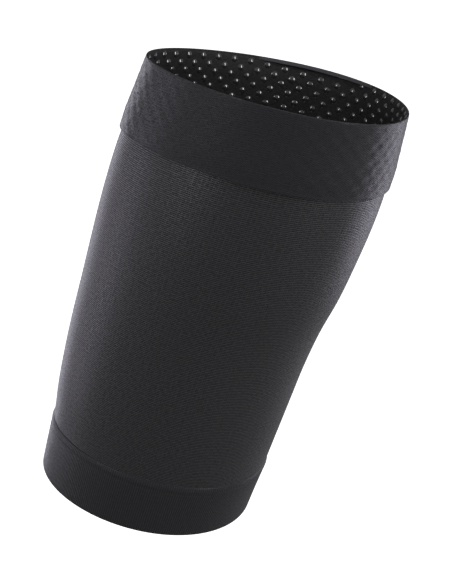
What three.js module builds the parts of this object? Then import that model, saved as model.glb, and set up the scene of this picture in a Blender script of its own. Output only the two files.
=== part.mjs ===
// Thigh compression sleeve: a knitted tube with a grip band round the top and a
// doubled cuff round the lower end, in the form it has on the leg.
// Millimetres. +Z runs up the thigh, -X is the front of the thigh and +X the back.
// The origin is on the thigh's axis, about half way up the grip band.

import * as THREE from "three";
import { mergeVertices } from "three/addons/utils/BufferGeometryUtils.js";

// Heights along the thigh
const SLEEVE_LENGTH = 301;
const BAND_HEIGHT = 49;
const CUFF_HEIGHT = 37;
const RIM_Z = 24;
const BAND_FOOT_Z = RIM_Z - BAND_HEIGHT;
const HEM_Z = RIM_Z - SLEEVE_LENGTH;
const CUFF_SEAM_Z = HEM_Z + CUFF_HEIGHT;

// Knitted walls
const TUBE_WALL = 1.3;
const BAND_PROUD = 2.4;
const BAND_WALL = 2.0;
const LINING_WALL = 1.2;
const CUFF_PROUD = 1.0;
const CUFF_WALL = 2.5;
const GAP = 0.3;

// Laps and edges
const TUBE_LAP_UNDER_BAND = 7;
const TUBE_LAP_IN_CUFF = 5;
const RIM_FOLD = 1.8;
const RIDGE_HEIGHT = 2.2;
const RIDGE_PROUD = 0.3;
const GROOVE_DEPTH = 0.7;
const CUFF_EDGE_RADIUS = 1.2;

// Facets
const SIDES = 76;
const ROUND_STEPS = 4;

// The sleeve's outer form, a row for each section from the hem up: the front and
// back of the section along X, how much fuller its back half is than its front, and
// its width across the thigh as a share of its depth from front to back.
const FORM = [
  { z: -277, front: -103.7, back: 46.6, fullness: 0.06, width: 1 },
  { z: -258, front: -103.2, back: 49.3, fullness: 0.08, width: 1 },
  { z: -239, front: -102.6, back: 52.3, fullness: 0.1, width: 1 },
  { z: -212, front: -103.5, back: 55.9, fullness: 0.1, width: 1 },
  { z: -185, front: -103.2, back: 59.4, fullness: 0.1, width: 1 },
  { z: -158, front: -102.1, back: 63.0, fullness: 0.11, width: 1 },
  { z: -132, front: -100.5, back: 67.9, fullness: 0.12, width: 1 },
  { z: -105, front: -99.0, back: 74.9, fullness: 0.14, width: 1 },
  { z: -78, front: -97.3, back: 80.0, fullness: 0.15, width: 1 },
  { z: -51, front: -94.8, back: 84.2, fullness: 0.16, width: 0.99 },
  { z: -24, front: -91.2, back: 86.7, fullness: 0.17, width: 0.99 },
  { z: 0, front: -86.6, back: 86.5, fullness: 0.18, width: 1.03 },
  { z: 24, front: -81.9, back: 85.9, fullness: 0.19, width: 1.08 },
];
const form = new THREE.CubicInterpolant(
  FORM.map((row) => row.z),
  FORM.flatMap((row) => [row.front, row.back, row.fullness, row.width]),
  4,
);

// Point of a wall: angle round the thigh from the back (+X), height, and offset
// outwards from the sleeve's outer form, square to the section.
function wallPoint(angle, z, offset, target) {
  const [front, back, fullness, width] = form.evaluate(z);
  const radius = (back - front) / 2;
  const cos = Math.cos(angle);
  const sin = Math.sin(angle);
  const onForm = new THREE.Vector2(
    (front + back) / 2 + radius * cos,
    radius * width * sin * (1 + fullness * cos),
  );
  const outwards = new THREE.Vector2(width * (cos + fullness * Math.cos(2 * angle)), sin);
  outwards.normalize();
  onForm.addScaledVector(outwards, offset);
  return target.set(onForm.x, onForm.y, z);
}

// Points of a straight run of a wall's section from one height to another, one at
// each row of the form that it passes.
function run(offset, fromZ, toZ) {
  const low = Math.min(fromZ, toZ);
  const high = Math.max(fromZ, toZ);
  const heights = FORM.map((row) => row.z).filter((z) => z > low + 1 && z < high - 1);
  heights.sort((a, b) => (toZ > fromZ ? a - b : b - a));
  return [fromZ, ...heights, toZ].map((z) => new THREE.Vector2(offset, z));
}

// Points of an arc of a wall's section, angles counted from outwards towards the rim.
function round(offset, z, radiusOut, radiusUp, fromDeg, toDeg) {
  const from = THREE.MathUtils.degToRad(fromDeg);
  const to = THREE.MathUtils.degToRad(toDeg);
  return new THREE.EllipseCurve(offset, z, radiusOut, radiusUp, from, to).getPoints(ROUND_STEPS);
}

// A closed section of (offset, height) points turned round the thigh as a lathed
// ring, then shaped to the form.
function ring(name, section, material) {
  const turned = new THREE.LatheGeometry([...section, section[0]], SIDES);
  turned.deleteAttribute("normal");
  turned.deleteAttribute("uv");
  const place = turned.getAttribute("position");
  const point = new THREE.Vector3();
  const rings = section.length + 1;
  for (let i = 0; i < place.count; i += 1) {
    const angle = (Math.floor(i / rings) % SIDES) * ((2 * Math.PI) / SIDES);
    const { x: offset, y: z } = section[i % rings % section.length];
    wallPoint(angle, z, offset, point);
    place.setXYZ(i, point.x, point.y, point.z);
  }
  const geometry = mergeVertices(turned);
  geometry.computeVertexNormals();
  const mesh = new THREE.Mesh(geometry, material);
  mesh.name = name;
  return mesh;
}

// Top band: doubled knit. Its lower lip is rounded, and its upper edge is folded
// over the rim and a little way down inside, as far as the lining.
function topBand() {
  const inner = BAND_PROUD - BAND_WALL;
  const hem = inner - GAP - LINING_WALL;
  const rimRadius = (BAND_PROUD - hem) / 2;
  const rimCentre = RIM_Z - rimRadius * 0.7;
  const lipRadius = BAND_WALL / 2;
  const lipCentre = BAND_FOOT_Z + lipRadius;
  const section = [
    ...run(BAND_PROUD, lipCentre, rimCentre).slice(0, -1),
    ...round(BAND_PROUD - rimRadius, rimCentre, rimRadius, RIM_Z - rimCentre, 0, 180),
    new THREE.Vector2(hem, RIM_Z - RIM_FOLD),
    ...run(inner, RIM_Z - RIM_FOLD, lipCentre).slice(0, -1),
    ...round(inner + lipRadius, lipCentre, lipRadius, lipRadius, 180, 360).slice(0, -1),
  ];
  const knit = new THREE.MeshStandardMaterial({ color: 0x2b2a2e, roughness: 0.85, metalness: 0 });
  return ring("top_band", section, knit);
}

// Grip lining: the strip inside the band, from the fold at the rim down to the
// upper edge of the tube.
function gripLining() {
  const outer = BAND_PROUD - BAND_WALL - GAP;
  const top = RIM_Z - RIM_FOLD - GAP;
  const foot = BAND_FOOT_Z + TUBE_LAP_UNDER_BAND + GAP;
  const section = [...run(outer, foot, top), ...run(outer - LINING_WALL, top, foot)];
  const lining = new THREE.MeshStandardMaterial({ color: 0x141415, roughness: 0.7, metalness: 0 });
  return ring("grip_lining", section, lining);
}

// Compression tube: one thin knitted wall whose ends are tucked under the band's
// lip and into the cuff.
function sleeveTube() {
  const top = BAND_FOOT_Z + TUBE_LAP_UNDER_BAND;
  const foot = CUFF_SEAM_Z - TUBE_LAP_IN_CUFF;
  const section = [...run(0, foot, top), ...run(-TUBE_WALL, top, foot)];
  const knit = new THREE.MeshStandardMaterial({ color: 0x29292b, roughness: 0.8, metalness: 0 });
  return ring("sleeve_tube", section, knit);
}

// Bottom cuff: doubled welt that laps over the tube's end, with a thin ridge and a
// groove along the seam and rounded edges at the hem.
function bottomCuff() {
  const inner = CUFF_PROUD - CUFF_WALL;
  const tubeFoot = CUFF_SEAM_Z - TUBE_LAP_IN_CUFF;
  const ridgeFoot = CUFF_SEAM_Z - RIDGE_HEIGHT;
  const ridgeMid = (CUFF_SEAM_Z + ridgeFoot) / 2;
  const ridgeReach = CUFF_PROUD + RIDGE_PROUD - GAP;
  const edge = CUFF_EDGE_RADIUS;
  const section = [
    ...round(CUFF_PROUD - edge, HEM_Z + edge, edge, edge, 270, 360),
    new THREE.Vector2(CUFF_PROUD, ridgeFoot - RIDGE_HEIGHT / 2),
    new THREE.Vector2(CUFF_PROUD + RIDGE_PROUD - GROOVE_DEPTH, ridgeFoot),
    ...round(GAP, ridgeMid, ridgeReach, RIDGE_HEIGHT / 2, -30, 90),
    new THREE.Vector2(GAP, tubeFoot - GAP),
    ...run(inner, tubeFoot - GAP, HEM_Z + edge).slice(0, -1),
    ...round(inner + edge, HEM_Z + edge, edge, edge, 180, 270),
  ];
  const welt = new THREE.MeshStandardMaterial({ color: 0x242426, roughness: 0.85, metalness: 0 });
  return ring("bottom_cuff", section, welt);
}

const sleeve = new THREE.Group();
sleeve.name = "thigh_compression_sleeve";
sleeve.add(topBand(), gripLining(), sleeveTube(), bottomCuff());

export default sleeve;
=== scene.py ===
import math
from collections import namedtuple
from functools import lru_cache
from itertools import accumulate

import bmesh
import bpy
import numpy as np
from mathutils import Matrix, Quaternion, Vector, noise


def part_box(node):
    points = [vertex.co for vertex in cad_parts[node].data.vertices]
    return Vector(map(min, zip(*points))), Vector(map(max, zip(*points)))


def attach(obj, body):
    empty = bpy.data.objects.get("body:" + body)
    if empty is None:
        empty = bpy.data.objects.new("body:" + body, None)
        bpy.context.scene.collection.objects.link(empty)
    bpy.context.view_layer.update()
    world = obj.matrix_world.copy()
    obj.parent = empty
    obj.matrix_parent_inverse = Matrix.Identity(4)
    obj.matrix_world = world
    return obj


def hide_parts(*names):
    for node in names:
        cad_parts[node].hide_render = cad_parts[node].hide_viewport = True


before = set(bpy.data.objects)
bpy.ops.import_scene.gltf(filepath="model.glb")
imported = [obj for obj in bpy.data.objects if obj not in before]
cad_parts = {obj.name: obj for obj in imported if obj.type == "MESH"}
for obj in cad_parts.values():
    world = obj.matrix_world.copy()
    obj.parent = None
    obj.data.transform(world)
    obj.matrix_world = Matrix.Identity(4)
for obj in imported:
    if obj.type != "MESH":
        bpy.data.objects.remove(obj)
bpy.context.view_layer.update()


# Compression tube
# The body of the sleeve: one seamless tube of fine half-drop knit, made of nylon and
# elastane yarn and drawn out over the thigh. Its ends are tucked under the band's lip
# and into the cuff, where they are linked on.

Section = namedtuple("Section", "height front back fullness width")

# The sleeve's outer form from the hem up: front and back of each section along X, how much
# fuller its back half is than its front half, and its width across as a share of its depth.
form = [
    Section(-0.277, -0.1037, 0.0466, 0.06, 1.00),
    Section(-0.258, -0.1032, 0.0493, 0.08, 1.00),
    Section(-0.239, -0.1026, 0.0523, 0.10, 1.00),
    Section(-0.212, -0.1035, 0.0559, 0.10, 1.00),
    Section(-0.185, -0.1032, 0.0594, 0.10, 1.00),
    Section(-0.158, -0.1021, 0.0630, 0.11, 1.00),
    Section(-0.132, -0.1005, 0.0679, 0.12, 1.00),
    Section(-0.105, -0.0990, 0.0749, 0.14, 1.00),
    Section(-0.078, -0.0973, 0.0800, 0.15, 1.00),
    Section(-0.051, -0.0948, 0.0842, 0.16, 0.99),
    Section(-0.024, -0.0912, 0.0867, 0.17, 0.99),
    Section(0.000, -0.0866, 0.0865, 0.18, 1.03),
    Section(0.024, -0.0819, 0.0859, 0.19, 1.08),
]
form_heights = np.array([section.height for section in form])
form_spans = np.array([section[1:] for section in form])
form_slopes = np.gradient(form_spans, form_heights, axis=0)


@lru_cache(maxsize=None)
def form_at(height):
    """Front, back, fullness and width of the sleeve's outer form at a height."""
    i = int(np.clip(np.searchsorted(form_heights, height) - 1, 0, len(form) - 2))
    step = form_heights[i + 1] - form_heights[i]
    t = (height - form_heights[i]) / step
    rise = t * t * (3 - 2 * t)
    spans = (
        form_spans[i] * (1 - rise)
        + form_spans[i + 1] * rise
        + form_slopes[i] * step * t * (1 - t) ** 2
        - form_slopes[i + 1] * step * t * t * (1 - t)
    )
    return tuple(float(value) for value in spans)


def wall_frame(turn, height):
    """Point on the outer form and the way out from it. Turns are counted from the thigh's back."""
    front, back, fullness, width = form_at(height)
    radius = (back - front) / 2
    angle = 2 * math.pi * turn
    cos = math.cos(angle)
    sin = math.sin(angle)
    across = radius * width * sin * (1 + fullness * cos)
    place = Vector(((front + back) / 2 + radius * cos, across, height))
    outwards = Vector((width * (cos + fullness * math.cos(2 * angle)), sin, 0)).normalized()
    return place, outwards


def upright(offset, start, end, step):
    """Points of an upright run of a wall's section, without its end."""
    count = max(1, round(abs(end - start) / step))
    return [(offset, start + (end - start) * i / count) for i in range(count)]


def rounded(offset, height, out, up, start, end, count):
    """Points of an arc of a wall's section without its end, in degrees from outwards to upwards."""
    angles = [math.radians(start + (end - start) * i / count) for i in range(count)]
    return [(offset + out * math.cos(a), height + up * math.sin(a)) for a in angles]


def knit_ring(name, wall, columns, relief=None):
    """A flat grid of knit rolled into a ring, whose closed section is the wall's (offset, height)
    points. Its map holds turns round the thigh and metres along the wall."""
    rows = len(wall)
    steps = [math.dist(wall[i], wall[(i + 1) % rows]) for i in range(rows)]
    along = [0.0, *accumulate(steps)]
    ring = bmesh.new()
    knit_map = ring.loops.layers.uv.new("knit")
    bmesh.ops.create_grid(ring, x_segments=columns, y_segments=rows, size=0.5, calc_uvs=True)
    for face in ring.faces:
        face.smooth = True
        for loop in face.loops:
            turn, share = loop[knit_map].uv
            loop[knit_map].uv = (turn, along[round(share * rows)])
    for vert in ring.verts:
        turn = vert.co.x + 0.5
        offset, height = wall[round((vert.co.y + 0.5) * rows) % rows]
        place, outwards = wall_frame(turn, height)
        raised = relief(turn, height, offset) if relief else 0.0
        vert.co = place + outwards * (offset + raised)
    bmesh.ops.remove_doubles(ring, verts=ring.verts, dist=1e-6)
    bmesh.ops.recalc_face_normals(ring, faces=ring.faces)
    mesh = bpy.data.meshes.new(name)
    ring.to_mesh(mesh)
    ring.free()
    piece = bpy.data.objects.new(name, mesh)
    bpy.context.collection.objects.link(piece)
    return piece


mottle_width = 0.6


def half_drop_knit():
    """Node group of a knit whose columns of loops are dropped by half a loop beside each other.
    Loop is 1 on the crown of each loop and 0 between them, with shares of plain upright ribs and
    of plain courses mixed in, and Mottle is the yarn's unevenness."""
    group = bpy.data.node_groups.new("half_drop_knit", "ShaderNodeTree")
    sockets = group.interface
    sockets.new_socket("Map", in_out="INPUT", socket_type="NodeSocketVector")
    sockets.new_socket("Columns", in_out="INPUT", socket_type="NodeSocketFloat")
    sockets.new_socket("Loops per metre", in_out="INPUT", socket_type="NodeSocketFloat")
    sockets.new_socket("Ribs", in_out="INPUT", socket_type="NodeSocketFloat")
    sockets.new_socket("Courses", in_out="INPUT", socket_type="NodeSocketFloat")
    sockets.new_socket("Loop", in_out="OUTPUT", socket_type="NodeSocketFloat")
    sockets.new_socket("Mottle", in_out="OUTPUT", socket_type="NodeSocketFloat")
    nodes = group.nodes
    links = group.links
    inlet = nodes.new("NodeGroupInput")
    outlet = nodes.new("NodeGroupOutput")

    def value_of(operation, *terms):
        """Output of a math node whose terms are numbers or sockets."""
        node = nodes.new("ShaderNodeMath")
        node.operation = operation
        for socket, term in zip(node.inputs, terms):
            if isinstance(term, float):
                socket.default_value = term
            else:
                links.new(term, socket)
        return node.outputs["Value"]

    split = nodes.new("ShaderNodeSeparateXYZ")
    links.new(inlet.outputs["Map"], split.inputs["Vector"])
    across = value_of("MULTIPLY", split.outputs["X"], inlet.outputs["Columns"])
    up = value_of("MULTIPLY", split.outputs["Y"], inlet.outputs["Loops per metre"])
    half_turn = value_of("MULTIPLY", across, math.pi)
    full_turn = value_of("MULTIPLY", across, 2 * math.pi)
    rise = value_of("MULTIPLY", up, 2 * math.pi)
    cells = value_of("MULTIPLY", value_of("COSINE", half_turn), value_of("COSINE", rise))
    ribs = value_of("COSINE", full_turn)
    courses = value_of("COSINE", rise)
    relief = cells
    for part, share in ((ribs, "Ribs"), (courses, "Courses")):
        rest = value_of("MULTIPLY", relief, value_of("SUBTRACT", 1.0, inlet.outputs[share]))
        relief = value_of("ADD", rest, value_of("MULTIPLY", part, inlet.outputs[share]))
    links.new(value_of("MULTIPLY_ADD", relief, 0.5, 0.5), outlet.inputs["Loop"])

    place = nodes.new("ShaderNodeCombineXYZ")
    links.new(value_of("MULTIPLY", across, mottle_width), place.inputs["X"])
    links.new(up, place.inputs["Y"])
    mottle = nodes.new("ShaderNodeTexNoise")
    mottle.inputs["Scale"].default_value = 0.9
    mottle.inputs["Detail"].default_value = 1.0
    links.new(place.outputs["Vector"], mottle.inputs["Vector"])
    links.new(mottle.outputs["Fac"], outlet.inputs["Mottle"])
    return group


knit_pattern = half_drop_knit()
mottle_low = 0.3
mottle_high = 0.7
gloss_start = 0.4
gloss_full = 0.6


def knit_cloth(
    name,
    hollow,
    crown,
    grain,
    columns,
    loops_per_metre,
    ribs,
    courses,
    depth,
    gloss,
    spread,
    sparkle,
    index,
):
    """Knitted cloth: glossy yarn of the crown colour over darker, dull hollows, its colour uneven
    by the grain and its gloss by the sparkle. The spread blurs the gloss, and the index sets how
    much of it is left in a straight view."""
    cloth = bpy.data.materials.new(name)
    cloth.use_nodes = True
    nodes = cloth.node_tree.nodes
    links = cloth.node_tree.links
    shader = nodes["Principled BSDF"]
    shader.inputs["Roughness"].default_value = 0.6
    shader.inputs["Specular IOR Level"].default_value = 0.15
    shader.inputs["Coat Roughness"].default_value = spread
    shader.inputs["Coat IOR"].default_value = index
    knit_map = nodes.new("ShaderNodeUVMap")
    knit_map.uv_map = "knit"
    pattern = nodes.new("ShaderNodeGroup")
    pattern.node_tree = knit_pattern
    pattern.inputs["Columns"].default_value = columns
    pattern.inputs["Loops per metre"].default_value = loops_per_metre
    pattern.inputs["Ribs"].default_value = ribs
    pattern.inputs["Courses"].default_value = courses
    links.new(knit_map.outputs["UV"], pattern.inputs["Map"])
    yarn = nodes.new("ShaderNodeMix")
    yarn.data_type = "RGBA"
    yarn.inputs["A"].default_value = (*hollow, 1.0)
    yarn.inputs["B"].default_value = (*crown, 1.0)
    links.new(pattern.outputs["Loop"], yarn.inputs["Factor"])
    patches = nodes.new("ShaderNodeMapRange")
    patches.inputs["From Min"].default_value = mottle_low
    patches.inputs["From Max"].default_value = mottle_high
    patches.inputs["To Min"].default_value = 1.0 - grain
    patches.inputs["To Max"].default_value = 1.0 + grain
    links.new(pattern.outputs["Mottle"], patches.inputs["Value"])
    worn = nodes.new("ShaderNodeVectorMath")
    worn.operation = "SCALE"
    links.new(yarn.outputs["Result"], worn.inputs["Vector"])
    links.new(patches.outputs["Result"], worn.inputs["Scale"])
    links.new(worn.outputs["Vector"], shader.inputs["Base Color"])
    polish = nodes.new("ShaderNodeMapRange")
    polish.inputs["From Min"].default_value = gloss_start
    polish.inputs["From Max"].default_value = gloss_full
    polish.inputs["To Max"].default_value = gloss
    links.new(pattern.outputs["Loop"], polish.inputs["Value"])
    streaks = nodes.new("ShaderNodeMapRange")
    streaks.inputs["From Min"].default_value = mottle_low
    streaks.inputs["From Max"].default_value = mottle_high
    streaks.inputs["To Min"].default_value = 1.0 - sparkle
    streaks.inputs["To Max"].default_value = 1.0 + sparkle
    links.new(pattern.outputs["Mottle"], streaks.inputs["Value"])
    shine = nodes.new("ShaderNodeMath")
    shine.operation = "MULTIPLY"
    shine.use_clamp = True
    links.new(polish.outputs["Result"], shine.inputs[0])
    links.new(streaks.outputs["Result"], shine.inputs[1])
    links.new(shine.outputs["Value"], shader.inputs["Coat Weight"])
    bump = nodes.new("ShaderNodeBump")
    bump.inputs["Strength"].default_value = 1.0
    bump.inputs["Distance"].default_value = depth
    links.new(pattern.outputs["Loop"], bump.inputs["Height"])
    links.new(bump.outputs["Normal"], shader.inputs["Normal"])
    return cloth


tube_low, tube_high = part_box("sleeve_tube")
tube_wall = 0.0013
tube_columns = 176
tube_row = 0.002
tube_inside_row = 0.006
lip_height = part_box("top_band")[0].z
draw_in = 0.0005
draw_in_length = 0.007


def tube_draw_in(turn, height, offset):
    """How the tight band draws the tube in under its lip."""
    return -draw_in * math.exp(min(0.0, height - lip_height) / draw_in_length)


tube_section = [
    *upright(0.0, tube_low.z, tube_high.z, tube_row),
    (0.0, tube_high.z),
    *upright(-tube_wall, tube_high.z, tube_low.z, tube_inside_row),
    (-tube_wall, tube_low.z),
]
tube = knit_ring("compression_tube", tube_section, tube_columns, tube_draw_in)
tube_cloth = knit_cloth(
    "tube_cloth",
    hollow=(0.0145, 0.0143, 0.0159),
    crown=(0.0300, 0.0297, 0.0329),
    grain=0.07,
    columns=404,
    loops_per_metre=830,
    ribs=0.2,
    courses=0.5,
    depth=0.0003,
    gloss=0.8,
    spread=0.4,
    sparkle=0.5,
    index=1.62,
)
tube.data.materials.append(tube_cloth)
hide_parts("sleeve_tube")
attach(tube, "root")


# Grip lining
# A strip of smooth black knit inside the band, from the fold at the rim down to the tube's
# upper edge. It is stitched to the band and carries the silicone.

lining_low, lining_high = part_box("grip_lining")
lining_wall = 0.0012
lining_offset = 0.0001
lining_inner = lining_offset - lining_wall
lining_columns = 160
lining_row = 0.002
lining_hidden_row = 0.004
lean_start = 0.012
lean_end = 0.02385
lean_heights = [lean_start, 0.015, 0.018, 0.021, lean_end]
outer_lean = 0.0014
inner_lean = 0.0023


def leaning(height):
    """How far a height is up the lining's upper part, which leans out to the rim."""
    return max(0.0, (height - lean_start) / (lean_end - lean_start))


lining_section = [
    *upright(lining_offset, lining_low.z, lean_start, lining_hidden_row),
    *((lining_offset + outer_lean * leaning(height), height) for height in lean_heights),
    *((lining_inner + inner_lean * leaning(height), height) for height in reversed(lean_heights)),
    *upright(lining_inner, lean_start, lining_low.z, lining_row)[1:],
    (lining_inner, lining_low.z),
]
lining = knit_ring("band_lining", lining_section, lining_columns)
lining_cloth = knit_cloth(
    "lining_cloth",
    hollow=(0.002, 0.002, 0.002),
    crown=(0.036, 0.036, 0.036),
    grain=0.4,
    columns=480,
    loops_per_metre=900,
    ribs=0.2,
    courses=0.1,
    depth=0.00012,
    gloss=0.05,
    spread=0.4,
    sparkle=0.5,
    index=1.4,
)
lining.data.materials.append(lining_cloth)
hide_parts("grip_lining")
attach(lining, "root")


# Silicone dots
# Small clear domes printed on the lining in staggered rows, so that the band doesn't slip
# down the leg. On the black knit they show as black, with the lamps' light on them.

dot_radius = 0.0025
dot_height = 0.00085
dot_sunk = 0.0002
dot_margin = 0.0013
dots_round = 42
dot_pitch = 0.0053
first_dot = 0.57
first_height = 0.0201
row_drop = 0.0049
drop_start = -0.5
drop_length = 1.2
dome_sides = 12
dome_rings = 20

# The way round the lining, measured so that the dots stand at equal distances along it.
round_turns = np.linspace(0.0, 1.0, 721)
round_path = []
for turn in round_turns:
    place, outwards = wall_frame(turn, first_height)
    round_path.append(place + outwards * lining_inner)
round_steps = [(end - start).length for start, end in zip(round_path, round_path[1:])]
round_lengths = [0.0, *accumulate(round_steps)]
lining_girth = round_lengths[-1]
girth_shares = np.array(round_lengths) / lining_girth


def dot_row_height(row, turn):
    """Height of a row of dots, counted down from the rim. The rows drop by almost one on their
    way from the front of the thigh to its back."""
    way = min(1.0, max(0.0, (math.cos(2 * math.pi * turn) - drop_start) / drop_length))
    return first_height - row * dot_pitch - row_drop * way * way * (3 - 2 * way)


dome = bmesh.new()
dome_curve = (dot_radius**2 + dot_height**2) / (2 * dot_height)
bmesh.ops.create_uvsphere(dome, u_segments=dome_sides, v_segments=dome_rings, radius=dome_curve)
foot = dome_curve - dot_height - dot_sunk
bmesh.ops.bisect_plane(
    dome,
    geom=[*dome.verts, *dome.edges, *dome.faces],
    plane_co=(0, 0, foot),
    plane_no=(0, 0, 1),
    clear_inner=True,
)
bmesh.ops.holes_fill(dome, edges=dome.edges)
bmesh.ops.translate(dome, verts=dome.verts, vec=(0, 0, -foot - dot_sunk))
for face in dome.faces:
    face.smooth = True
dome_mesh = bpy.data.meshes.new("silicone_dome")
dome.to_mesh(dome_mesh)
dome.free()

field = bmesh.new()
last_row = math.ceil((first_height - lining_low.z) / dot_pitch)
for row in range(-1, last_row + 1):
    for i in range(dots_round):
        share = (first_dot + i - 0.5 * (row % 2)) / dots_round
        turn = float(np.interp(share, girth_shares, round_turns))
        height = dot_row_height(row, turn)
        if not lining_low.z + dot_radius < height < lining_high.z - dot_margin:
            continue
        place, outwards = wall_frame(turn, height)
        place += outwards * (lining_inner + inner_lean * leaning(height))
        facing = -outwards
        if height > lean_start:
            facing.z = inner_lean / (lean_end - lean_start)
        turned = facing.to_track_quat("Z", "Y")
        before = len(field.verts)
        field.from_mesh(dome_mesh)
        field.verts.ensure_lookup_table()
        bmesh.ops.transform(
            field,
            matrix=Matrix.LocRotScale(place, turned, None),
            verts=field.verts[before:],
        )
dots_mesh = bpy.data.meshes.new("silicone_dots")
field.to_mesh(dots_mesh)
field.free()
bpy.data.meshes.remove(dome_mesh)
dots = bpy.data.objects.new("silicone_dots", dots_mesh)
bpy.context.collection.objects.link(dots)

silicone = bpy.data.materials.new("clear_silicone")
silicone.use_nodes = True
silicone_shader = silicone.node_tree.nodes["Principled BSDF"]
silicone_shader.inputs["Base Color"].default_value = (0.028, 0.028, 0.028, 1.0)
silicone_shader.inputs["Roughness"].default_value = 0.12
silicone_shader.inputs["IOR"].default_value = 1.5
silicone_shader.inputs["Specular IOR Level"].default_value = 0.9
silicone_shader.inputs["Coat Weight"].default_value = 1.0
silicone_shader.inputs["Coat Roughness"].default_value = 0.12
dots.data.materials.append(silicone)
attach(dots, "root")


# Top band
# A wide doubled band of the same yarn, linked to the tube's upper end. Its edge is folded over the
# rim down to the lining.
# Where the fold lies over the rim and inside, it gets a lighter copy of the band's cloth: a painted
# sheen of the lamps' light on the fold.
# Its lower lip is rounded, and the silicone behind it draws its face into shallow diamond puckers.

band_low, band_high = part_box("top_band")
band_proud = 0.0024
band_wall = 0.002
band_inner = band_proud - band_wall
columns_per_dot = 10
band_row = 0.0011
band_inside_row = 0.008
pucker_depth = 0.00019
pucker_fade = 0.004
loop_unevenness = 0.00008
loop_cell = 0.0012
tight_cell = 0.007

# How much of their depth the puckers have at places from the front of the thigh (-1) to its back (1).
pucker_places = [-1.0, -0.75, -0.45, 0.1, 0.5, 1.0]
pucker_shares = [1.0, 0.85, 0.25, 0.35, 1.0, 1.0]

# The edge in steps over the rim and down inside: depth under the rim, and offset where the fold
# is rolled in over the lining and where it stands up behind it.
FoldStep = namedtuple("FoldStep", "drop rolled upright")
fold = [
    FoldStep(0.00060, 0.00240, 0.00240),
    FoldStep(0.00025, 0.00230, 0.00236),
    FoldStep(0.00005, 0.00195, 0.00227),
    FoldStep(0.00000, 0.00150, 0.00215),
    FoldStep(0.00010, 0.00080, 0.00200),
    FoldStep(0.00030, 0.00020, 0.00192),
    FoldStep(0.00060, -0.00010, 0.00188),
    FoldStep(0.00100, -0.00050, 0.00186),
    FoldStep(0.00160, -0.00090, 0.00184),
    FoldStep(0.00210, -0.00120, 0.00182),
    FoldStep(0.00230, -0.00115, 0.00180),
    FoldStep(0.00210, -0.00100, 0.00179),
    FoldStep(0.00130, -0.00060, 0.00178),
    FoldStep(0.00070, 0.00000, 0.00183),
    FoldStep(0.00040, 0.00070, 0.00184),
    FoldStep(0.00025, 0.00160, 0.00184),
    FoldStep(0.00150, 0.00165, 0.00165),
    FoldStep(0.00250, 0.00155, 0.00155),
]
fold_section = {(step.rolled, band_high.z - step.drop): step.upright for step in fold}
fold_top = band_high.z - fold[0].drop

# The fold is rolled in on both sides of the thigh about one direction, counted from its back. The
# cosines of the angles to that direction say where the roll starts and how soon it is full.
fold_middle = math.radians(70)
roll_start = 0.82
roll_blend = 0.12
steps_over_rim = 4

lip_taper = 0.0008
taper_length = 0.014
lip_round = 0.0008
lip_bead = 0.0003
bead_length = 0.0012
lip_row = 0.0004
lip_rows_height = 0.005
lip_steps = 4
lip_out = band_proud - lip_taper + lip_bead
lip_top = band_low.z + lip_round
turn_in = 0.0009
turn_in_height = 0.001


def unevenness(turn, height, cell):
    """Unevenness in cells of one size, carried on round the thigh without a break."""
    angle = 2 * math.pi * turn
    radius = lining_girth / (2 * math.pi)
    place = Vector((radius * math.cos(angle), radius * math.sin(angle), height))
    return noise.noise(place / cell)


def band_relief(turn, height, offset):
    """How far the band stands out: puckers over the dots behind it and uneven loops on its face,
    which tapers to the lip, and a fold at the rim that is rolled in towards the back of the thigh
    and stands up elsewhere."""
    along_thigh = math.cos(2 * math.pi * turn)
    if (offset, height) in fold_section:
        to_middle = math.cos(math.acos(along_thigh) - fold_middle)
        rolled = min(1.0, max(0.0, (to_middle - roll_start) / roll_blend))
        return (1.0 - rolled) * (fold_section[offset, height] - offset)
    if offset < band_proud:
        return 0.0
    way = min(1.0, (height - lip_top) / taper_length)
    taper = lip_taper * (1.0 - way) ** 2
    bead = lip_bead * math.exp((lip_top - height) / bead_length)
    room = min(height - lip_top, fold_top - height)
    fade = min(1.0, max(0.0, room / pucker_fade))
    share = float(np.interp(turn, round_turns, girth_shares))
    across = math.cos(2 * math.pi * (dots_round * share - first_dot))
    up = math.cos(math.pi * (height - dot_row_height(0, turn)) / dot_pitch)
    drawn = float(np.interp(along_thigh, pucker_places, pucker_shares))
    tightness = drawn * (1.0 + unevenness(turn, height, tight_cell))
    pucker = pucker_depth * tightness * across * up
    loops = loop_unevenness * unevenness(turn, height, loop_cell)
    return (pucker + loops) * fade - taper + bead


band_section = [
    *upright(band_proud, lip_top, band_low.z + lip_rows_height, lip_row),
    *upright(band_proud, band_low.z + lip_rows_height, fold_top, band_row),
    *fold_section,
    *((band_inner + outer_lean * leaning(height), height) for height in reversed(lean_heights[:-1])),
    *upright(band_inner, lean_start, band_low.z + turn_in_height, band_inside_row)[1:],
    (band_inner, band_low.z + turn_in_height),
    (band_inner - turn_in, band_low.z),
    *rounded(lip_out - lip_round, lip_top, lip_round, lip_round, 270, 360, lip_steps),
]
band = knit_ring("grip_band", band_section, dots_round * columns_per_dot, band_relief)
band_cloth = knit_cloth(
    "band_cloth",
    hollow=(0.0196, 0.0193, 0.0218),
    crown=(0.0286, 0.0282, 0.0318),
    grain=0.05,
    columns=440,
    loops_per_metre=900,
    ribs=0.15,
    courses=0.2,
    depth=0.00022,
    gloss=1.0,
    spread=0.32,
    sparkle=1.0,
    index=1.28,
)
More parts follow.
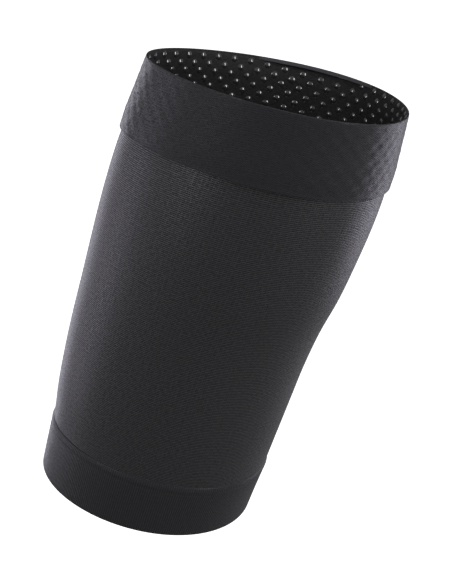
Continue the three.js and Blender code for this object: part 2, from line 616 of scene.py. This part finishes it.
# A lighter copy of the band's cloth for the fold over the rim: painted sheen of the lamps' light, not
# a lighter yarn.
painted_sheen_cloth = knit_cloth(
    "painted_sheen_cloth",
    hollow=(0.036, 0.0355, 0.041),
    crown=(0.050, 0.0495, 0.057),
    grain=0.05,
    columns=440,
    loops_per_metre=900,
    ribs=0.15,
    courses=0.2,
    depth=0.0001,
    gloss=1.0,
    spread=0.32,
    sparkle=0.3,
    index=1.5,
)
band.data.materials.append(band_cloth)
band.data.materials.append(painted_sheen_cloth)

# The painted sheen, a lighter copy of the band's cloth that stands in for the lamps' light on the
# fold, starts where the fold is over the rim, in metres along the band's map.
fold_points = list(fold_section)
fold_lengths = [math.dist(start, end) for start, end in zip(fold_points, fold_points[1:])]
face_length = fold_top - lip_top
painted_sheen_start = face_length + sum(fold_lengths[:steps_over_rim])
painted_sheen_end = face_length + sum(fold_lengths)
band_map = band.data.uv_layers["knit"].uv
for face in band.data.polygons:
    middle = sum(band_map[i].vector.y for i in face.loop_indices) / face.loop_total
    if painted_sheen_start < middle < painted_sheen_end:
        face.material_index = 1
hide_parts("top_band")
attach(band, "root")


# Bottom cuff
# A doubled welt linked to the tube's lower end, with fine upright ribs. The linking leaves
# a thin ribbed ridge and a groove along the seam, and the hem is a plain rounded turn.

cuff_low, cuff_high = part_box("bottom_cuff")
cuff_proud = 0.001
cuff_wall = 0.0025
cuff_inner = cuff_proud - cuff_wall
cuff_edge = 0.0012
hem_top = cuff_low.z + cuff_edge
cuff_ribs = 320
columns_per_rib = 5
cuff_rib_depth = 0.00003
cuff_row = 0.004
cuff_inside_row = 0.006
hem_outer_steps = 5
hem_inner_steps = 4
seam_gap = 0.0003
seam_inside_depth = 0.002

# The seam in steps from the cuff's face through the groove, up over the ridge and into the tube:
# offset, and depth under the cuff's upper edge.
seam = [
    (0.001, 0.0046),
    (0.00093, 0.0039),
    (0.00078, 0.0032),
    (0.00074, 0.0027),
    (0.00084, 0.0021),
    (0.00103, 0.0014),
    (0.00112, 0.0007),
    (0.00105, 0.0),
    (0.00078, -0.0009),
    (0.0004, -0.002),
    (-0.0003, -0.0036),
]
groove_steps = 6
groove_offset = min(offset for offset, depth in seam[:groove_steps])


def cuff_rib(turn, height, offset):
    """Upright ribs on the cuff's face, ridge and hem."""
    if offset < groove_offset - 1e-6:
        return 0.0
    return cuff_rib_depth * math.cos(2 * math.pi * cuff_ribs * turn)


cuff_section = [
    *rounded(cuff_proud - cuff_edge, hem_top, cuff_edge, cuff_edge, 270, 360, hem_outer_steps),
    *upright(cuff_proud, hem_top, cuff_high.z - seam[0][1], cuff_row),
    *((offset, cuff_high.z - depth) for offset, depth in seam),
    (seam_gap, cuff_high.z - seam_inside_depth),
    (seam_gap, tube_low.z - seam_gap),
    *upright(cuff_inner, tube_low.z - seam_gap, hem_top, cuff_inside_row),
    *rounded(cuff_inner + cuff_edge, hem_top, cuff_edge, cuff_edge, 180, 270, hem_inner_steps),
]
cuff = knit_ring("welt_cuff", cuff_section, cuff_ribs * columns_per_rib, cuff_rib)
cuff_cloth = knit_cloth(
    "cuff_cloth",
    hollow=(0.0206, 0.0204, 0.0227),
    crown=(0.0235, 0.0233, 0.0258),
    grain=0.04,
    columns=cuff_ribs,
    loops_per_metre=800,
    ribs=0.85,
    courses=0.0,
    depth=0.00003,
    gloss=0.75,
    spread=0.36,
    sparkle=0.4,
    index=1.35,
)
cuff.data.materials.append(cuff_cloth)
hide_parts("bottom_cuff")
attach(cuff, "root")


# Floor, lamps and camera
# A white floor well under the sleeve, a soft white room, large lamps low at its sides and behind
# it, smaller ones at the front and one above, and the camera at the picture's place, tipped to
# one side.

floor_drop = 1.0
floor_size = 12.0
floor_shape = bmesh.new()
bmesh.ops.create_grid(floor_shape, x_segments=1, y_segments=1, size=floor_size)
bmesh.ops.translate(floor_shape, verts=floor_shape.verts, vec=(0, 0, cuff_low.z - floor_drop))
floor_mesh = bpy.data.meshes.new("floor")
floor_shape.to_mesh(floor_mesh)
floor_shape.free()
floor = bpy.data.objects.new("floor", floor_mesh)
bpy.context.collection.objects.link(floor)
floor_white = bpy.data.materials.new("floor_white")
floor_white.use_nodes = True
floor_shader = floor_white.node_tree.nodes["Principled BSDF"]
floor_shader.inputs["Base Color"].default_value = (0.9, 0.9, 0.9, 1.0)
floor_shader.inputs["Emission Color"].default_value = (1.0, 1.0, 1.0, 1.0)
floor_shader.inputs["Emission Strength"].default_value = 1.0
floor.data.materials.append(floor_white)
floor.visible_diffuse = False
floor.visible_glossy = False

room = bpy.data.worlds.new("room")
bpy.context.scene.world = room
room.use_nodes = True
room_nodes = room.node_tree.nodes
room_links = room.node_tree.links
room_light = room_nodes["Background"]
room_light.inputs["Color"].default_value = (1.0, 1.0, 1.0, 1.0)
room_light.inputs["Strength"].default_value = 0.27
seen_white = room_nodes.new("ShaderNodeBackground")
seen_white.inputs["Color"].default_value = (1.0, 1.0, 1.0, 1.0)
seen_white.inputs["Strength"].default_value = 1.2
ray = room_nodes.new("ShaderNodeLightPath")
either = room_nodes.new("ShaderNodeMixShader")
room_links.new(ray.outputs["Is Camera Ray"], either.inputs["Fac"])
room_links.new(room_light.outputs["Background"], either.inputs[1])
room_links.new(seen_white.outputs["Background"], either.inputs[2])
room_links.new(either.outputs["Shader"], room_nodes["World Output"].inputs["Surface"])

sleeve_middle = Vector((0.0, 0.0, -0.12))
softbox_distance = 1.5


def softbox(name, azimuth, elevation, width, height, watts, colour):
    """A softbox that faces the sleeve, its azimuth counted from the camera's side to the right."""
    lamp = bpy.data.lights.new(name, "AREA")
    lamp.shape = "RECTANGLE"
    lamp.size = width
    lamp.size_y = height
    lamp.energy = watts
    lamp.color = colour
    box = bpy.data.objects.new(name, lamp)
    side = math.radians(azimuth)
    rise = math.radians(elevation)
    way = Vector((math.sin(side) * math.cos(rise), -math.cos(side) * math.cos(rise), math.sin(rise)))
    box.location = sleeve_middle + way * softbox_distance
    box.rotation_euler = (-way).to_track_quat("-Z", "Y").to_euler()
    bpy.context.collection.objects.link(box)
    return box


white = (1.0, 0.99, 1.03)
cool = (0.96, 0.92, 1.08)
softbox("left_side_softbox", -98, -12, 0.6, 1.0, 3.7, cool)
softbox("left_back_softbox", -141, -15, 0.7, 1.0, 5.0, cool)
softbox("right_back_softbox", 127, -4, 1.1, 0.9, 5.9, cool)
softbox("left_front_softbox", -52, 28, 0.3, 0.7, 3.2, white)
softbox("left_low_softbox", -55, 11, 0.25, 0.5, 1.9, white)
softbox("right_front_softbox", 60, 28, 0.5, 1.2, 10.5, white)
top_softbox = softbox("top_softbox", 0, 80, 0.6, 0.6, 4.3, white)
# The lamp above only fills, so that each dot shows the front lamps alone.
top_softbox.visible_glossy = False

picture_height = 584
focal_pixels = 1192
sensor = 36.0
camera_place = Vector((-0.005, -0.7695, 0.1534))
camera_target = Vector((-0.0013, 0.0, -0.1246))
camera_roll = math.radians(12.54)

lens = bpy.data.cameras.new("camera")
lens.sensor_width = sensor
lens.lens = focal_pixels / picture_height * sensor
camera = bpy.data.objects.new("camera", lens)
camera.location = camera_place
level_view = (camera_target - camera_place).to_track_quat("-Z", "Y")
camera.rotation_euler = (level_view @ Quaternion((0, 0, 1), camera_roll)).to_euler()
bpy.context.collection.objects.link(camera)
bpy.context.scene.camera = camera
bpy.context.scene.view_settings.view_transform = "Standard"
